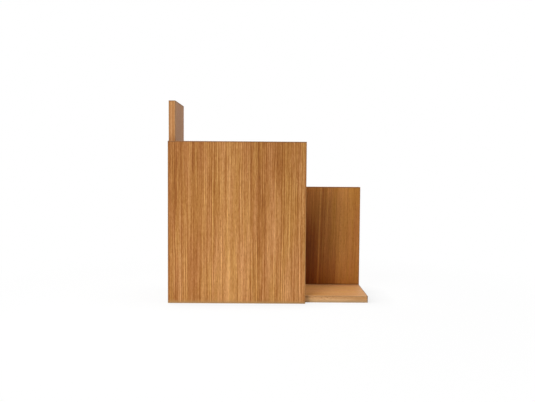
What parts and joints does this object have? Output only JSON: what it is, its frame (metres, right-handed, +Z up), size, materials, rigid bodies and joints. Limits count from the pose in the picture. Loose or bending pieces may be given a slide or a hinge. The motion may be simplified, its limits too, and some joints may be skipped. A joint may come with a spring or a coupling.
{
  "type": "small open shelf",
  "caption": "Small free-standing open shelf: plain oak boards of unlike heights set at right angles round a bay on a base board, joined by hidden dowels.",
  "frame": {"origin": "on the floor, under the middle of the shelf's overall width and depth", "axes": "+X to the right as seen from the front, along the base board; +Y to the rear, from the front board to the back board; +Z up"},
  "size_m": [0.53, 0.208, 0.532],
  "materials": {
    "oiled_oak": "oiled oak, fine straight grain, satin",
    "beech": "bare beech, fluted"
  },
  "bodies": {
    "root": {"front_panel": "oiled_oak", "side_panel": "oiled_oak", "base_panel": "oiled_oak", "back_panel": "oiled_oak", "dowel_front_to_side_1": "beech", "dowel_front_to_side_2": "beech", "dowel_front_to_side_3": "beech", "dowel_front_to_side_4": "beech", "dowel_front_to_side_5": "beech", "dowel_front_to_base_1": "beech", "dowel_front_to_base_2": "beech", "dowel_front_to_base_3": "beech", "dowel_front_to_base_4": "beech", "dowel_base_to_side_1": "beech", "dowel_base_to_side_2": "beech", "dowel_back_to_side_1": "beech", "dowel_back_to_side_2": "beech", "dowel_back_to_side_3": "beech", "dowel_back_to_base_1": "beech", "dowel_back_to_base_2": "beech", "dowel_back_to_base_3": "beech", "dowel_back_to_base_4": "beech", "dowel_back_to_base_5": "beech", "dowel_back_to_base_6": "beech"}
  },
  "joints": []
}
